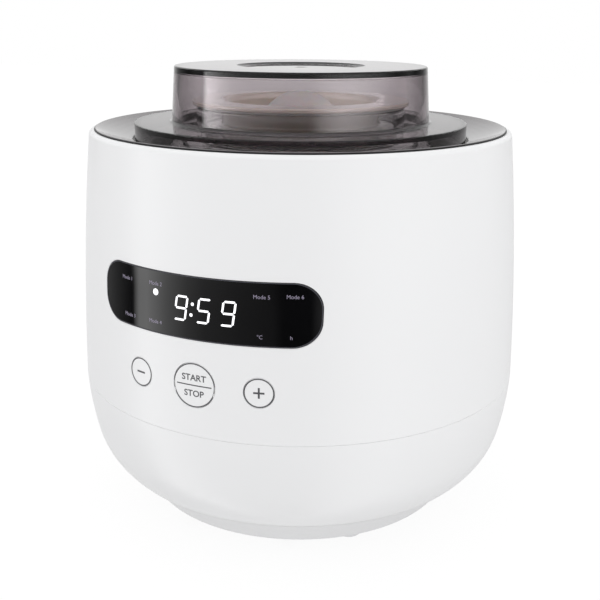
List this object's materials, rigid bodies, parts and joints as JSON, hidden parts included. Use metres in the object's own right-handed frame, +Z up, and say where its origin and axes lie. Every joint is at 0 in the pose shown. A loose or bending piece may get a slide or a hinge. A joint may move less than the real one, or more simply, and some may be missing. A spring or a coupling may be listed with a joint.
{
  "type": "yogurt maker",
  "caption": "Round white yogurt maker: heating well, glass jar with cream plug lid, smoky clear domed cover, curved black display and push-buttons.",
  "frame": {"origin": "centre of the plane that the feet stand on", "axes": "+Z up along the turned housing's axis; the control panel faces -Y; +X is the viewer's right when facing the panel"},
  "size_m": [0.2072, 0.2072, 0.2053],
  "materials": {
    "white_gloss": "polished white ABS",
    "base_white": "satin off-white PP",
    "button_white": "white caps with a grey printed ring",
    "foot_rubber": "pale grey rubber",
    "screw_steel": "zinc-plated steel",
    "trim_grey": "grey gloss ABS",
    "well_aluminium": "satin spun aluminium",
    "silicone_white": "soft translucent silicone",
    "silicone_frosted": "frosted silicone",
    "heater_silicone": "silicone heating foil",
    "insulation_felt": "needled felt",
    "jar_glass": "clear soda glass",
    "lid_cream": "cream PP",
    "smoky_clear": "smoky transparent SAN",
    "window_black": "polished black acrylic",
    "component_black": "moulded black plastic",
    "board_green": "solder-masked glass-epoxy board",
    "lamp_white": "clear LED lens",
    "relay_blue": "blue moulded case",
    "pin_brass": "plated brass",
    "cable_grey": "PVC cable sheath"
  },
  "bodies": {
    "housing": {"upper_shell": "white_gloss", "lower_shell": "white_gloss", "base_cover": "base_white", "rubber_feet": "foot_rubber", "base_screws": "screw_steel", "top_trim_ring": "trim_grey", "heating_well": "well_aluminium", "well_gasket": "silicone_white", "well_screws": "screw_steel", "heater_band": "heater_silicone", "insulation_sleeve": "insulation_felt", "sensor_bracket": "screw_steel", "temperature_sensor": "well_aluminium", "thermal_fuse": "screw_steel", "display_window": "window_black", "display_module": "component_black", "control_board": "board_green", "board_screws": "screw_steel", "indicator_leds": "lamp_white", "tact_switches": "component_black", "button_guide": "base_white", "buzzer": "component_black", "power_board": "board_green", "power_board_screws": "screw_steel", "transformer": "component_black", "relay": "relay_blue", "capacitor": "component_black", "power_inlet": "component_black", "inlet_pins": "pin_brass", "mains_leads": "cable_grey", "control_cable": "cable_grey"},
    "jar": {"glass_jar": "jar_glass"},
    "jar_lid": {"jar_lid": "lid_cream", "jar_lid_seal": "silicone_white", "vent_cap": "silicone_frosted"},
    "outer_lid": {"outer_lid": "smoky_clear"},
    "minus_key": {"button_minus": "button_white"},
    "menu_key": {"button_menu": "button_white"},
    "plus_key": {"button_plus": "button_white"}
  },
  "joints": [
    {"name": "jar_lift", "type": "slide", "parent": "housing", "child": "jar", "axis": [0, 0, 1], "range_m": [0, 0.16]},
    {"name": "jar_lid_lift", "type": "slide", "parent": "jar", "child": "jar_lid", "axis": [0, 0, 1], "range_m": [0, 0.04]},
    {"name": "outer_lid_lift", "type": "slide", "parent": "jar_lid", "child": "outer_lid", "axis": [0, 0, 1], "range_m": [0, 0.06]},
    {"name": "minus_press", "type": "slide", "parent": "housing", "child": "minus_key", "axis": [0.263, 0.9648, 0], "range_m": [0, 0.0008], "stiffness_N_per_m": 900},
    {"name": "menu_press", "type": "slide", "parent": "housing", "child": "menu_key", "axis": [0, 1, 0], "range_m": [0, 0.0008], "stiffness_N_per_m": 900},
    {"name": "plus_press", "type": "slide", "parent": "housing", "child": "plus_key", "axis": [-0.263, 0.9648, 0], "range_m": [0, 0.0008], "stiffness_N_per_m": 900}
  ]
}
